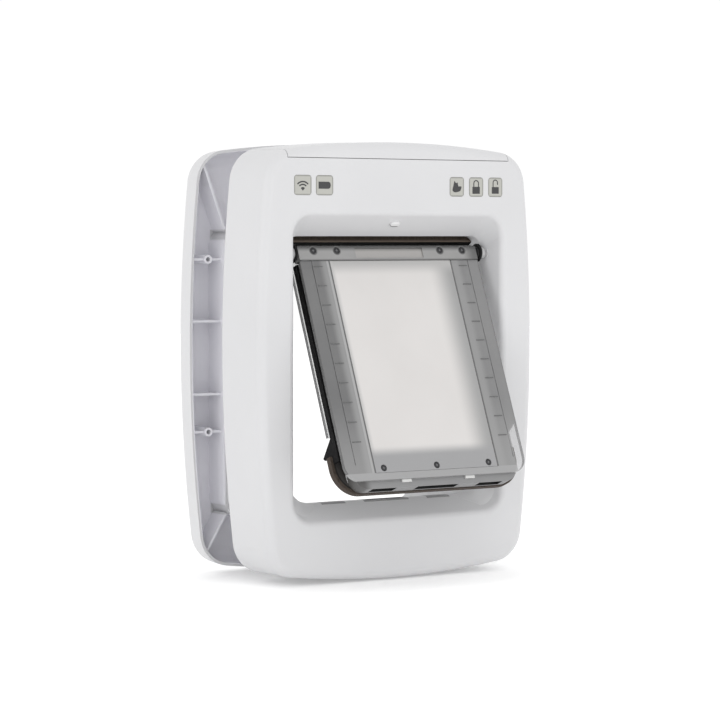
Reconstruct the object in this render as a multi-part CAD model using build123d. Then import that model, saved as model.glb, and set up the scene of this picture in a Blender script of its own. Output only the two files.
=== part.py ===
from build123d import *
from math import cos, pi, radians, sin, sqrt, tan
import os

# Smart pet door for a door leaf, in millimetres.
# X runs to the right, Y through the door from the inside to the outside, Z up.
# The origin is the middle of the four fixing holes, on the face that lies on the inside of the door.

# Outline that both frames share
frame_half_width = 166.0
frame_half_height = 220.0
frame_centre_z = -13.5
side_bow_top = 11.5
side_bow_bottom = 15.0
end_bow = 11.5
frame_corner_radius = 34.0
draft = 1.5
wall = 3.0

# Inside frame
housing_depth = 70.0
front_roll = 9.0
back_plate_thickness = 4.0
plate_fit = 0.3

# Opening of the inside frame: flared mouth, narrow lip, sill that drains outwards
side_band = 40.0
top_band = 72.0
bottom_band = 61.6
mouth_radius = 20.0
mouth_roll = 7.0
mouth_backing = 2.5
side_flare = 6.5
top_flare = 22.3
sill_flare = 16.3
lip_radius = 14.0
flare_depth = 28.0
lip_length = 8.0
drain_spread = 2.0
drain_drop = 6.0

# Lining through the door and outside frame
door_gap = 66.0
sleeve_side_step = 2.5
sleeve_top_step = 5.3
sleeve_floor_step = 17.9
sleeve_radius = 18.0
sleeve_wall = 2.0
sleeve_entry = 16.0
sleeve_fit = 0.3
exterior_depth = 34.0
exterior_roll = 18.0
exterior_mouth_roll = 5.0
exterior_inner_wall = 3.5
rib_thickness = 2.4
rib_setback = 6.0
side_rib_heights = (25.0, -50.0)
end_rib_offsets = (-70.0, 0.0, 70.0)

# Fixing through the door
bolt_spacing_x = 288.0
bolt_spacing_z = 177.0
bolt_clearance_hole = 5.5
boss_diameter = 9.0
boss_hole = 4.8
boss_hole_depth = 22.0
boss_setback = 3.0

# Screws that hold the back plate on posts of the housing
post_diameter = 9.0
post_inset = 16.0
post_top_drop = 66.5
post_foot_rise = 83.5
end_post_x = 78.0
end_post_rise = 19.5
small_screw = 3.0
small_screw_hole = 3.2
small_screw_head = 6.6
small_screw_head_height = 2.0
head_edge_radius = 0.8
head_fit = 0.4
plate_screw_length = 14.0

# Battery bay along the top
cover_half_width = 133.75
cover_drop = 17.2
cover_gap = 0.6
cover_back_rim = 7.0
cover_rib_places = (-120.0, -60.0, 0.0, 60.0, 120.0)
cell_diameter = 33.2
cell_length = 61.5
cell_count = 4
cell_nub_diameter = 9.5
cell_nub_height = 1.5
cell_axis_y = -30.0
cell_drop = 39.0
cell_fit = 0.6
contact_room = 5.0
contact_thickness = 0.6
contact_width = 16.0
contact_leg = 9.5
contact_bend_low = 3.8
contact_bend_high = 5.7
tray_wall = 2.0
tray_rise = 22.5
tray_rib_places = (-95.0, 95.0)

# Face with status windows on the left and keys on the right
tile_drop = 44.0
tile_height = 19.5
lens_width = 19.8
lens_places = (-116.3, -91.0)
key_width = 17.5
key_places = (68.6, 92.8, 117.0)
tile_radius = 3.0
tile_fit = 0.2
tile_flange = 1.6
tile_flange_thickness = 1.2
key_travel = 1.0

# Control board behind the face
board_half_width = 129.0
board_height = 26.0
board_thickness = 1.6
board_setback = 8.0
board_post_diameter = 7.0
board_post_places = (-62.0, 0.0, 45.0)
switch_size = 6.0
switch_height = 5.2
led_size = 4.0
led_height = 2.0

# Sensor nub under the soffit
sensor_width = 11.0
sensor_depth = 7.0
sensor_height = 2.6
sensor_edge_radius = 1.5
sensor_share_of_flare = 0.42

# Tag reader aerial round the tunnel
antenna_width = 6.0
antenna_thickness = 3.0
antenna_clearance = 4.0

# Hinge of the flap
hinge_y = -43.6
hinge_drop = 17.3
open_angle = 22.4
pin_diameter = 5.0
pin_depth_in_flap = 11.0
pin_depth_in_housing = 8.0
pin_running_fit = 0.05
bush_diameter = 9.0
bush_fit = 0.05
bush_collar_diameter = 13.0
collar_fit = 0.7
flap_end_play = 0.9
bush_post_diameter = 15.0

# Flap, measured from the hinge axis while it hangs closed: y to the outside, z up
flap_side_gap = 11.1
sill_gap = 1.9
flap_front_y = -4.0
flap_sheet = 3.5
flap_core_depth = 13.5
front_panel_lift = 8.6
flap_corner_radius = 16.0
strip_top_z = 6.3
strip_bottom_z = -9.4
strip_front_y = -5.0
strip_back_y = 5.0
strip_recess_half_width = 41.0
strip_recess_depth = 1.2
strip_recess_margin = 2.5
strip_edge_radius = 1.2
strip_screw_insets = (17.9, 45.7)
strip_screw_z = 1.1
strip_screw_length = 12.0
bar_width = 35.4
window_gap = 0.3
window_lift = 7.0
window_screw_inset = 10.0
window_screw_lift = 12.0
window_screw_length = 9.0
core_inset = 11.4
core_lift = 1.0
core_corner_radius = 14.0
core_opening_margin = 1.0
core_opening_top_z = -13.0
core_opening_lift = 28.0
core_tab_top_z = 5.0
bar_groove_inset = 13.4
bar_groove_width = 0.8
bar_groove_depth = 0.6
tick_inset = 15.4
tick_length = 10.0
tick_height = 1.0
tick_relief = 0.5
tick_top_z = -15.7
tick_pitch = 20.5
tick_foot_lift = 36.0
lug_places = (-38.0, 38.0)
lug_width = 11.0
lug_drop = 3.0
rear_top_z = 1.5
rear_step_lift = 51.0
rear_lift = 1.6
side_seal_front_y = 6.0
side_seal_margin = 1.9
side_seal_lift = 50.0
fin_margin = 0.2
fin_thickness = 2.7
fin_front_y = 3.3
fin_tip_y = 29.8
fin_foot_y = 27.5
fin_top_lift = 54.0
fin_tip_lift = 34.3
fin_foot_lift = 31.8
fin_heel_lift = 24.0
seal_spread = 2.6
seal_top_lift = 31.5
seal_corner_radius = 28.0
seal_back_y = 20.0
seal_grip = 0.3

# Brown wedge that closes the gap above the flap
top_seal_front_y = -26.4
top_seal_toe_y = -14.0
top_seal_back_y = -10.0
top_seal_drop = 6.2
top_seal_toe_drop = 11.8

# Magnets and lock along the sill
magnet_places = (-64.0, 64.0)
magnet_length = 28.0
magnet_height = 8.0
magnet_fit = 0.3
inset_wrap = 2.5
inset_lap = 1.0
lock_plate_margin = 4.0
lock_plate_depth = 5.0
pocket_wall = 2.4
bolt_width = 46.0
bolt_thickness = 7.0
bolt_top_gap = 0.8
bolt_blade_height = 26.0
bolt_nose_radius = 4.8
bolt_guide_fit = 0.4
bolt_guide_depth = 17.0
bolt_stem_width = 13.0
bolt_stem_length = 42.0
bolt_slot_depth_in_flap = 15.0
lock_slot_margin = 1.5

# Lock drive
gear_module = 1.25
gear_teeth = 16
gear_backlash = 0.25
gear_pressure_angle = 20.0
gear_depth_fit = 0.15
gear_root_share = 1.25
gear_root_overlap = 0.8
flank_steps = 4
pinion_drop = 46.5
pinion_thickness = 6.0
rack_tooth_count = 7
shaft_diameter = 4.0
shaft_fit = 0.03
shaft_depth_in_motor = 6.0
motor_diameter = 22.0
motor_length = 24.0
motor_bore_fit = 0.05
motor_edge_radius = 0.7

# Places that follow from the sizes above
frame_top = frame_centre_z + frame_half_height
frame_bottom = frame_centre_z - frame_half_height
mouth_half_width = frame_half_width - side_band
mouth_top = frame_top - top_band
mouth_bottom = frame_bottom + bottom_band
lip_half_width = mouth_half_width - side_flare
lip_top = mouth_top - top_flare
lip_bottom = mouth_bottom + sill_flare
sleeve_half_width = lip_half_width + sleeve_side_step
sleeve_top = lip_top + sleeve_top_step
sleeve_bottom = lip_bottom - sleeve_floor_step
cover_seam_z = frame_top - cover_drop
tile_centre_z = frame_top - tile_drop
cell_axis_z = frame_top - cell_drop
tray_top = cell_axis_z + tray_rise
front_y = -housing_depth
face_back_y = front_y + wall
plate_front_y = -back_plate_thickness
lip_front_y = front_y + flare_depth
lip_back_y = lip_front_y + lip_length
sill_slot_y = (lip_front_y + lip_back_y) / 2
rim_y = door_gap
exterior_back_y = rim_y + exterior_depth
core_front_y = flap_front_y + flap_sheet
core_back_y = core_front_y + flap_core_depth
rear_back_y = core_back_y + flap_sheet
board_front_y = face_back_y + board_setback
cell_radius = cell_diameter / 2
hinge_z = lip_top - hinge_drop
flap_half_width = lip_half_width - flap_side_gap
window_half_width = flap_half_width - bar_width
core_half_width = flap_half_width - core_inset
seal_half_width = flap_half_width + seal_spread
seal_bottom_z = lip_bottom - hinge_z + sill_gap
core_bottom_z = seal_bottom_z + core_lift
rear_bottom_z = core_bottom_z + rear_lift
flap_bottom_z = seal_bottom_z + front_panel_lift
window_bottom_z = flap_bottom_z + window_lift
window_screw_z = flap_bottom_z + window_screw_lift
post_places = (
    (frame_half_width - post_inset, frame_top - post_top_drop),
    (frame_half_width - post_inset, frame_centre_z),
    (frame_half_width - post_inset, frame_bottom + post_foot_rise),
    (end_post_x, frame_bottom + end_post_rise),
)
strip_screw_places = [side * (flap_half_width - inset) for inset in strip_screw_insets for side in (-1, 1)]
window_screw_places = [side * (window_half_width - window_screw_inset) for side in (-1, 0, 1)]
bolt_places = [
    (side * bolt_spacing_x / 2, level * bolt_spacing_z / 2) for side in (-1, 1) for level in (-1, 1)
]


def door_plane(y):
    """Plane parallel to the door at depth y, with local x to the right and local y up."""
    return Plane(origin=(0, y, 0), x_dir=(1, 0, 0), z_dir=(0, -1, 0))


def slab(sketch, y_front, y_back):
    return extrude(door_plane(y_front) * sketch, amount=y_back - y_front, dir=(0, 1, 0))


def tapered(front, y_front, back, y_back):
    return loft([door_plane(y_front) * front, door_plane(y_back) * back], ruled=True)


def block(x, y, z):
    """Box between pairs of limits along each axis."""
    size = [high - low for low, high in (x, y, z)]
    centre = [(high + low) / 2 for low, high in (x, y, z)]
    return Pos(*centre) * Box(*size)


def rod_x(diameter, x_low, x_high, y, z):
    return Pos((x_low + x_high) / 2, y, z) * Rot(0, 90, 0) * Cylinder(diameter / 2, x_high - x_low)


def rod_y(diameter, x, y_low, y_high, z):
    return Pos(x, (y_low + y_high) / 2, z) * Rot(90, 0, 0) * Cylinder(diameter / 2, y_high - y_low)


def rounded(half_width, top, bottom, radius):
    return Pos(0, (top + bottom) / 2) * RectangleRounded(2 * half_width, top - bottom, radius)


def mirrored(solid):
    return mirror(solid, about=Plane.YZ)


# Outline and openings

def frame_sketch(grow=0.0):
    """Bowed rectangle of the frames, a little wider at the top than at the bottom."""
    top_x = frame_half_width - side_bow_top
    bottom_x = frame_half_width - side_bow_bottom
    corner_z = frame_half_height - end_bow
    face = make_face([
        ThreePointArc((bottom_x, -corner_z), (frame_half_width, 0), (top_x, corner_z)),
        ThreePointArc((top_x, corner_z), (0, frame_half_height), (-top_x, corner_z)),
        ThreePointArc((-top_x, corner_z), (-frame_half_width, 0), (-bottom_x, -corner_z)),
        ThreePointArc((-bottom_x, -corner_z), (0, -frame_half_height), (bottom_x, -corner_z)),
    ])
    face = fillet(face.vertices(), frame_corner_radius)
    if grow:
        face = offset(face, amount=grow)
    return Pos(0, frame_centre_z) * face


def mouth_sketch(grow=0.0):
    return rounded(mouth_half_width + grow, mouth_top + grow, mouth_bottom - grow, mouth_radius + grow)


def lip_sketch(grow=0.0):
    return rounded(lip_half_width + grow, lip_top + grow, lip_bottom - grow, lip_radius + grow)


def drain_sketch(grow=0.0):
    half_width = lip_half_width + drain_spread + grow
    top = lip_top + drain_spread + grow
    return rounded(half_width, top, lip_bottom - drain_drop - grow, lip_radius + grow)


def sleeve_sketch(grow=0.0):
    return rounded(sleeve_half_width + grow, sleeve_top + grow, sleeve_bottom - grow, sleeve_radius + grow)


def opening_solid(grow=0.0, mouth_grow=0.0):
    """Way through the inside frame; grown by a wall it is the body of that way's lining."""
    flare = tapered(mouth_sketch(mouth_grow), front_y, lip_sketch(grow), lip_front_y)
    land = slab(lip_sketch(grow), lip_front_y, lip_back_y)
    drain = tapered(lip_sketch(grow), lip_back_y, drain_sketch(grow), 0)
    return flare + land + drain


def interior_envelope(inset=0.0):
    """Solid form of the inside frame, with its front edge rolled."""
    body = tapered(frame_sketch(-inset), front_y + inset, frame_sketch(draft - inset), 0)
    return fillet(body.faces().sort_by(Axis.Y)[0].edges(), front_roll - inset)


def cover_region(gap):
    """Space at the top of the inside frame that the battery cover fills, less a gap all round."""
    return block(
        (-cover_half_width + gap, cover_half_width - gap),
        (front_y - wall, -cover_back_rim - gap),
        (cover_seam_z + gap, frame_top + wall),
    )


# Inside frame

def tile_sketch(width, grow=0.0):
    return RectangleRounded(width + 2 * grow, tile_height + 2 * grow, tile_radius + grow)


def tile_window(x, width):
    return slab(Pos(x, tile_centre_z) * tile_sketch(width, tile_fit), front_y - wall, face_back_y + wall)


def sill_inset(middle, length, depth, grow=0.0):
    """Block let into the crest of the sill, from its front slope to just behind the crest."""
    half = length / 2 + grow
    return block(
        (middle - half, middle + half),
        (lip_front_y - inset_wrap - grow, lip_back_y + inset_lap + grow),
        (lip_bottom - depth - grow, lip_bottom + wall),
    )


def lock_plate_length():
    return bolt_width + 2 * lock_plate_margin


def bolt_guide(grow, depth, top):
    half = bolt_width / 2 + grow
    reach = bolt_thickness / 2 + grow
    return block((-half, half), (sill_slot_y - reach, sill_slot_y + reach), (lip_bottom - depth, top))


def bush_inner_x():
    return flap_half_width + flap_end_play


def bush_end_x():
    return lip_half_width + pin_depth_in_housing


def hinge_post():
    """Round post behind the right side of the opening that carries a hinge bush."""
    return rod_x(bush_post_diameter, lip_half_width + wall / 2, bush_end_x(), hinge_y, hinge_z)


def plate_posts():
    posts = [
        rod_y(post_diameter, side * x, face_back_y - wall / 2, plate_front_y, z)
        for x, z in post_places
        for side in (-1, 1)
    ]
    pilot = [
        rod_y(small_screw_hole, side * x, plate_front_y - plate_screw_length, plate_front_y, z)
        for x, z in post_places
        for side in (-1, 1)
    ]
    return posts, pilot


def interior_housing():
    envelope = interior_envelope()
    void = opening_solid()
    shell = envelope - interior_envelope(wall)
    shell += opening_solid(wall, wall + mouth_backing) & envelope
    shell -= void
    face = shell.faces().filter_by(Axis.Y).sort_by(Axis.Y)[0]
    shell = fillet(face.inner_wires()[0].edges(), mouth_roll)
    posts, pilots = plate_posts()
    shell += posts
    shell += [
        rod_y(board_post_diameter, x, face_back_y - wall / 2, board_front_y, tile_centre_z)
        for x in board_post_places
    ]
    shell += [hinge_post(), mirrored(hinge_post())]
    pocket = magnet_fit + pocket_wall
    holders = [sill_inset(x, magnet_length, magnet_height, pocket) for x in magnet_places]
    holders.append(bolt_guide(bolt_guide_fit + pocket_wall, bolt_guide_depth, lip_bottom))
    holders.append(sill_inset(0, lock_plate_length(), lock_plate_depth, pocket))
    shell += [holder - void for holder in holders]
    shell -= pilots
    shell -= [sill_inset(x, magnet_length, magnet_height, magnet_fit) for x in magnet_places]
    shell -= sill_inset(0, lock_plate_length(), lock_plate_depth, magnet_fit)
    shell -= bolt_guide(bolt_guide_fit, bolt_guide_depth + wall, lip_bottom + wall)
    bush_seat = rod_x(
        bush_diameter + 2 * bush_fit, lip_half_width - wall, bush_end_x() + wall, hinge_y, hinge_z
    )
    shell -= [bush_seat, mirrored(bush_seat)]
    shell -= [tile_window(x, lens_width) for x in lens_places]
    shell -= [tile_window(x, key_width) for x in key_places]
    return shell - cover_region(0)


def interior_back_plate():
    plate = slab(frame_sketch(draft - wall - plate_fit), plate_front_y, 0)
    plate -= slab(drain_sketch(wall + plate_fit), plate_front_y - wall, wall)
    plate -= [
        rod_y(bolt_clearance_hole, x, plate_front_y - wall, wall, z) for x, z in bolt_places
    ]
    for x, z in post_places:
        for side in (-1, 1):
            plate -= rod_y(small_screw_hole, side * x, plate_front_y - wall, wall, z)
            plate -= rod_y(small_screw_head + head_fit, side * x, -small_screw_head_height, wall, z)
    return plate


def screw(length):
    """Pan head screw along Y with its head's seat at y = 0, shank towards +Y."""
    head = rod_y(small_screw_head, 0, -small_screw_head_height, 0, 0)
    head = fillet(head.edges().sort_by(Axis.Y)[0], head_edge_radius)
    return head + rod_y(small_screw, 0, 0, length, 0)


def back_plate_screws():
    turned = Rot(0, 0, 180) * screw(plate_screw_length - head_fit)
    return Compound([
        Pos(side * x, -small_screw_head_height, z) * turned for x, z in post_places for side in (-1, 1)
    ])


# Lining and outside frame

def tunnel_sleeve():
    return slab(sleeve_sketch(sleeve_wall), 0, rim_y + sleeve_entry) - slab(
        sleeve_sketch(), 0, rim_y + sleeve_entry
    )


def exterior_envelope(inset=0.0):
    body = tapered(frame_sketch(draft - inset), rim_y, frame_sketch(-inset), exterior_back_y - inset)
    return fillet(body.faces().sort_by(Axis.Y)[-1].edges(), exterior_roll - inset)


def exterior_ribs():
    """Rib slabs that are trimmed later to the hollow between the two walls."""
    y = (rim_y + rib_setback, exterior_back_y)
    half = rib_thickness / 2
    reach = frame_half_width + draft
    levels = list(side_rib_heights) + [-bolt_spacing_z / 2, bolt_spacing_z / 2]
    ribs = [block((-reach, reach), y, (z - half, z + half)) for z in levels]
    for x in end_rib_offsets:
        ribs.append(block((x - half, x + half), y, (frame_bottom, sleeve_bottom)))
        ribs.append(block((x - half, x + half), y, (sleeve_top, frame_top)))
    return ribs


def corner_rib(inner_z, outer_z):
    """Diagonal rib from a corner of the way through to the same corner of the frame."""
    inner = Vector(sleeve_half_width, 0, inner_z)
    outer = Vector(frame_half_width - side_bow_bottom, 0, outer_z)
    run = outer - inner
    angle = Vector(1, 0, 0).get_signed_angle(run, Vector(0, -1, 0))
    middle = (inner + outer) * 0.5
    depth = exterior_depth - rib_setback
    rib = Box(run.length, depth, rib_thickness)
    return Pos(middle.X, exterior_back_y - depth / 2, middle.Z) * Rot(0, -angle, 0) * rib


def exterior_frame():
    outer_step = sleeve_wall + sleeve_fit
    lining = slab(sleeve_sketch(outer_step + exterior_inner_wall), rim_y, exterior_back_y)
    hollow = exterior_envelope(wall) - lining
    frame = exterior_envelope() - hollow
    frame -= slab(sleeve_sketch(), rim_y, exterior_back_y)
    back = frame.faces().filter_by(Axis.Y).sort_by(Axis.Y)[-1]
    frame = fillet(back.inner_wires()[0].edges(), exterior_mouth_roll)
    frame -= slab(sleeve_sketch(outer_step), rim_y, rim_y + sleeve_entry)
    diagonals = [
        corner_rib(sleeve_top, frame_top - end_bow),
        corner_rib(sleeve_bottom, frame_bottom + end_bow),
    ]
    ribs = exterior_ribs() + diagonals + [mirrored(rib) for rib in diagonals]
    webs = (ribs[0] + ribs[1:]) & hollow
    mouth = rim_y + boss_setback
    bosses = [rod_y(boss_diameter, x, mouth, exterior_back_y - wall / 2, z) for x, z in bolt_places]
    holes = [rod_y(boss_hole, x, mouth - wall, mouth + boss_hole_depth, z) for x, z in bolt_places]
    return frame + webs + bosses - holes


# Battery bay

def battery_cover():
    hollow = interior_envelope(wall)
    cover = (interior_envelope() & cover_region(cover_gap)) - hollow
    front = cell_axis_y - cell_radius - cell_fit / 2 - tray_wall
    back = cell_axis_y + cell_radius + cell_fit / 2 + tray_wall
    ribs = [
        block((x - tray_wall / 2, x + tray_wall / 2), (front, back), (tray_top, frame_top))
        for x in cover_rib_places
    ]
    return cover + ((ribs[0] + ribs[1:]) & hollow)


def tray_section(radius, top):
    """Trough across the cells, in a plane that looks along X."""
    bowl = Pos(cell_axis_y, cell_axis_z) * Circle(radius)
    height = top - cell_axis_z
    upper = Pos(cell_axis_y, cell_axis_z + height / 2) * Rectangle(2 * radius, height)
    return bowl + upper


def tray_solid(half_length, radius, top):
    section = Plane(origin=(-half_length, 0, 0), x_dir=(0, 1, 0), z_dir=(1, 0, 0))
    return extrude(section * tray_section(radius, top), amount=2 * half_length, dir=(1, 0, 0))


def tray_half_length():
    return cell_count * cell_length / 2 + contact_room


def battery_tray():
    inner_radius = cell_radius + cell_fit / 2
    half = tray_half_length()
    tray = tray_solid(half + tray_wall, inner_radius + tray_wall, tray_top)
    tray -= tray_solid(half, inner_radius, tray_top + wall)
    rear = cell_axis_y + inner_radius + tray_wall / 2
    for x in tray_rib_places:
        web = (x - tray_wall / 2, x + tray_wall / 2)
        tray += block(web, (rear, plate_front_y), (cell_axis_z, tray_top))
    return tray


def battery_cell(index):
    start = (index - cell_count / 2) * cell_length
    end = start + cell_length
    body = rod_x(cell_diameter, start, end - cell_nub_height, cell_axis_y, cell_axis_z)
    nub = rod_x(cell_nub_diameter, start, end, cell_axis_y, cell_axis_z)
    return body + nub


def contact_leaf():
    """Folded strip at the right end: a flat leg on the tray and a sprung leg on the cell."""
    room = contact_room
    sheet = contact_thickness
    leg = room - sheet
    profile = Polyline(
        (room, -contact_leg), (room, contact_leg), (leg, contact_leg), (leg, contact_bend_high),
        (sheet, 0), (0, 0), (0, -sheet), (sheet, -sheet), (leg, contact_bend_low), (leg, -contact_leg),
        close=True,
    )
    plane = Plane(origin=(cell_count * cell_length / 2, 0, cell_axis_z), x_dir=(1, 0, 0), z_dir=(0, -1, 0))
    leaf = extrude(plane * make_face(profile), amount=contact_width / 2, both=True)
    return Pos(0, cell_axis_y, 0) * leaf


def battery_contacts():
    return Compound([contact_leaf(), mirrored(contact_leaf())])


# Face, keys and board

def status_lens(x):
    face = slab(Pos(x, tile_centre_z) * tile_sketch(lens_width), front_y, face_back_y)
    flange = slab(
        Pos(x, tile_centre_z) * tile_sketch(lens_width, tile_flange),
        face_back_y, face_back_y + tile_flange_thickness,
    )
    return face + flange


def push_key(x):
    start = face_back_y + tile_fit
    face = slab(Pos(x, tile_centre_z) * tile_sketch(key_width), front_y, start)
    flange = slab(
        Pos(x, tile_centre_z) * tile_sketch(key_width, tile_flange), start, start + tile_flange_thickness
    )
    return face + flange


def control_board():
    sketch = Pos(0, tile_centre_z) * RectangleRounded(2 * board_half_width, board_height, tile_radius)
    return slab(sketch, board_front_y, board_front_y + board_thickness)


def key_switches():
    half = switch_size / 2
    limits = (board_front_y - switch_height, board_front_y)
    level = (tile_centre_z - half, tile_centre_z + half)
    return Compound([block((x - half, x + half), limits, level) for x in key_places])


def indicator_leds():
    half = led_size / 2
    limits = (board_front_y - led_height, board_front_y)
    level = (tile_centre_z - half, tile_centre_z + half)
    return Compound([block((x - half, x + half), limits, level) for x in lens_places])


def soffit_sensor():
    """Oval nub that stands on the sloping soffit, square to it."""
    drop = lip_top - mouth_top
    run = Vector(0, flare_depth, drop)
    foot = Vector(0, front_y, mouth_top) + run * sensor_share_of_flare
    seat = Plane(origin=foot, x_dir=(1, 0, 0), z_dir=(0, drop, -flare_depth))
    nub = extrude(seat * SlotOverall(sensor_width, sensor_depth), amount=sensor_height)
    far = nub.faces().sort_by(Axis(foot, seat.z_dir))[-1]
    return fillet(far.edges(), sensor_edge_radius)


def antenna_loop():
    inner = wall + antenna_clearance
    ring = drain_sketch(inner + antenna_width) - drain_sketch(inner)
    return slab(ring, plate_front_y - antenna_thickness, plate_front_y)


# Hinge

def hinge_bush():
    """Bush in the post, with a wide collar that fills the gap beside the flap."""
    start = bush_inner_x()
    body = rod_x(bush_diameter, start, bush_end_x(), hinge_y, hinge_z)
    collar = rod_x(bush_collar_diameter, start, lip_half_width - collar_fit, hinge_y, hinge_z)
    bore = rod_x(pin_diameter + 2 * pin_running_fit, start, bush_end_x(), hinge_y, hinge_z)
    return body + collar - bore


def hinge_pin():
    return rod_x(pin_diameter, flap_half_width - pin_depth_in_flap, bush_end_x(), hinge_y, hinge_z)


# Flap, drawn closed about its hinge axis

def hung(solid):
    """Flap piece moved from the hinge's own axes to its place, swung open to the inside."""
    return Pos(0, hinge_y, hinge_z) * Rot(-open_angle, 0, 0) * solid


def flap_sheet_sketch(half_width, top, bottom, radius):
    """Sheet of the flap, with its two bottom corners rounded."""
    sheet = Pos(0, (top + bottom) / 2) * Rectangle(2 * half_width, top - bottom)
    return fillet(sheet.vertices().group_by(Axis.Y)[0], radius)


def flap_clamp_strip():
    bar = block(
        (-flap_half_width, flap_half_width), (strip_front_y, strip_back_y), (strip_bottom_z, strip_top_z)
    )
    bar = fillet(bar.edges().filter_by(Axis.Y), strip_edge_radius)
    recess = block(
        (-strip_recess_half_width, strip_recess_half_width),
        (strip_front_y - wall, strip_front_y + strip_recess_depth),
        (strip_bottom_z + strip_recess_margin, strip_top_z - strip_recess_margin),
    )
    bar -= recess
    seat = strip_front_y + small_screw_head_height
    for x in strip_screw_places:
        bar -= rod_y(small_screw_head + head_fit, x, strip_front_y - wall, seat, strip_screw_z)
        bar -= rod_y(small_screw_hole, x, seat - wall / 2, strip_back_y + wall, strip_screw_z)
    bore = rod_x(pin_diameter, flap_half_width - pin_depth_in_flap, bush_inner_x(), 0, 0)
    return bar - [bore, mirrored(bore)]


def flap_front_panel():
    """Smoky clear side bars joined by a bottom rail, with the gauge ridges of the side bars."""
    top = strip_bottom_z - window_gap
    outline = flap_sheet_sketch(flap_half_width, top, flap_bottom_z, flap_corner_radius)
    panel = slab(outline, flap_front_y, core_front_y)
    half = window_half_width + window_gap
    panel -= block((-half, half), (flap_front_y - wall, core_front_y + wall), (window_bottom_z, top + wall))
    groove_depth = (flap_front_y - wall, flap_front_y + bar_groove_depth)
    groove_run = (flap_bottom_z + flap_corner_radius, top + wall)
    tick_depth = (flap_front_y - tick_relief, flap_front_y)
    tick_count = int((tick_top_z - flap_bottom_z - tick_foot_lift) // tick_pitch) + 1
    for side in (-1, 1):
        x = side * (flap_half_width - bar_groove_inset)
        panel -= block((x - bar_groove_width / 2, x + bar_groove_width / 2), groove_depth, groove_run)
        tick_end = flap_half_width - tick_inset
        limits = sorted((side * (tick_end - tick_length), side * tick_end))
        for index in range(tick_count):
            z = tick_top_z - index * tick_pitch
            panel += block(limits, tick_depth, (z - tick_height / 2, z + tick_height / 2))
    for x in lug_places:
        half = lug_width / 2
        panel += block(
            (x - half, x + half), (flap_front_y + flap_sheet / 2, core_front_y),
            (flap_bottom_z - lug_drop, flap_bottom_z),
        )
    return panel


def flap_window():
    top = strip_bottom_z - window_gap
    limits = (window_bottom_z + window_gap, top)
    sheet = block((-window_half_width, window_half_width), (flap_front_y, core_front_y), limits)
    seat = flap_front_y + small_screw_head_height
    for x in window_screw_places:
        sheet -= rod_y(small_screw_head + head_fit, x, flap_front_y - wall, seat, window_screw_z)
        sheet -= rod_y(small_screw_hole, x, flap_front_y, core_front_y + wall, window_screw_z)
    return sheet


def slot_depth_limits(extra):
    """Depth of the slots in the foot of the flap, over the same slots of the sill."""
    middle = sill_slot_y - hinge_y
    half = bolt_thickness / 2 + extra
    return (middle - half, middle + half)


def foot_slots(top_z):
    """Room in the foot of the flap for the lock bolt and the two magnets."""
    depth = slot_depth_limits(lock_slot_margin)
    half = bolt_width / 2 + lock_slot_margin
    slots = [block((-half, half), depth, (core_bottom_z - wall, top_z))]
    half = magnet_length / 2 + magnet_fit
    for x in magnet_places:
        slots.append(block((x - half, x + half), depth, (core_bottom_z - wall, top_z)))
    return slots


def foot_slot_top():
    return core_bottom_z + bolt_slot_depth_in_flap


def flap_inner_frame():
    top = strip_bottom_z - window_gap
    outline = flap_sheet_sketch(core_half_width, top, core_bottom_z, core_corner_radius)
    ring = slab(outline, core_front_y, core_back_y)
    half = window_half_width - core_opening_margin
    ring -= block(
        (-half, half), (core_front_y - wall, core_back_y + wall),
        (flap_bottom_z + core_opening_lift, core_opening_top_z),
    )
    half = core_half_width
    ring += block((-half, half), (strip_back_y, core_back_y), (top - wall, core_tab_top_z))
    ring -= foot_slots(foot_slot_top())
    for x in strip_screw_places:
        ring -= rod_y(small_screw_hole, x, strip_back_y, core_back_y, strip_screw_z)
    for x in window_screw_places:
        ring -= rod_y(small_screw_hole, x, core_front_y, core_front_y + window_screw_length, window_screw_z)
    return ring


def flap_rear_panel():
    """Clear sheet, as wide as the front down to the seal and then as narrow as the core."""
    step = flap_bottom_z + rear_step_lift
    wide = Pos(0, (rear_top_z + step) / 2) * Rectangle(2 * flap_half_width, rear_top_z - step)
    narrow = flap_sheet_sketch(core_half_width, rear_top_z, rear_bottom_z, core_corner_radius)
    return slab(wide + narrow, core_back_y, rear_back_y)


def flap_side_seal():
    """Black strip along the right edge of the core."""
    return block(
        (core_half_width, flap_half_width - side_seal_margin),
        (side_seal_front_y, core_back_y),
        (flap_bottom_z + side_seal_lift, strip_bottom_z - window_gap),
    )


def seal_fin():
    """Loose end of the left strip, which trails behind the flap."""
    profile = Polyline(
        (fin_front_y, flap_bottom_z + fin_top_lift), (fin_tip_y, flap_bottom_z + fin_tip_lift),
        (fin_foot_y, flap_bottom_z + fin_foot_lift), (core_back_y, flap_bottom_z + fin_foot_lift),
        (core_back_y, flap_bottom_z + fin_heel_lift), (fin_front_y, flap_bottom_z + fin_heel_lift),
        close=True,
    )
    outer = flap_half_width - fin_margin
    side = Plane(origin=(-outer, 0, 0), x_dir=(0, 1, 0), z_dir=(1, 0, 0))
    return extrude(side * make_face(profile), amount=fin_thickness, dir=(1, 0, 0))


def flap_bottom_seal():
    """Brown lip that wraps the bottom corners behind the core."""
    top = flap_bottom_z + seal_top_lift
    outer = flap_sheet_sketch(seal_half_width, top, seal_bottom_z, seal_corner_radius)
    inner = flap_sheet_sketch(
        core_half_width + seal_grip, top + wall, rear_bottom_z - seal_grip, core_corner_radius + seal_grip
    )
    return slab(outer - inner, core_back_y + seal_grip, seal_back_y)


def flap_top_screws():
    seat = strip_front_y + small_screw_head_height
    fixing = screw(strip_screw_length)
    return Compound([Pos(x, seat, strip_screw_z) * fixing for x in strip_screw_places])


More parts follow.
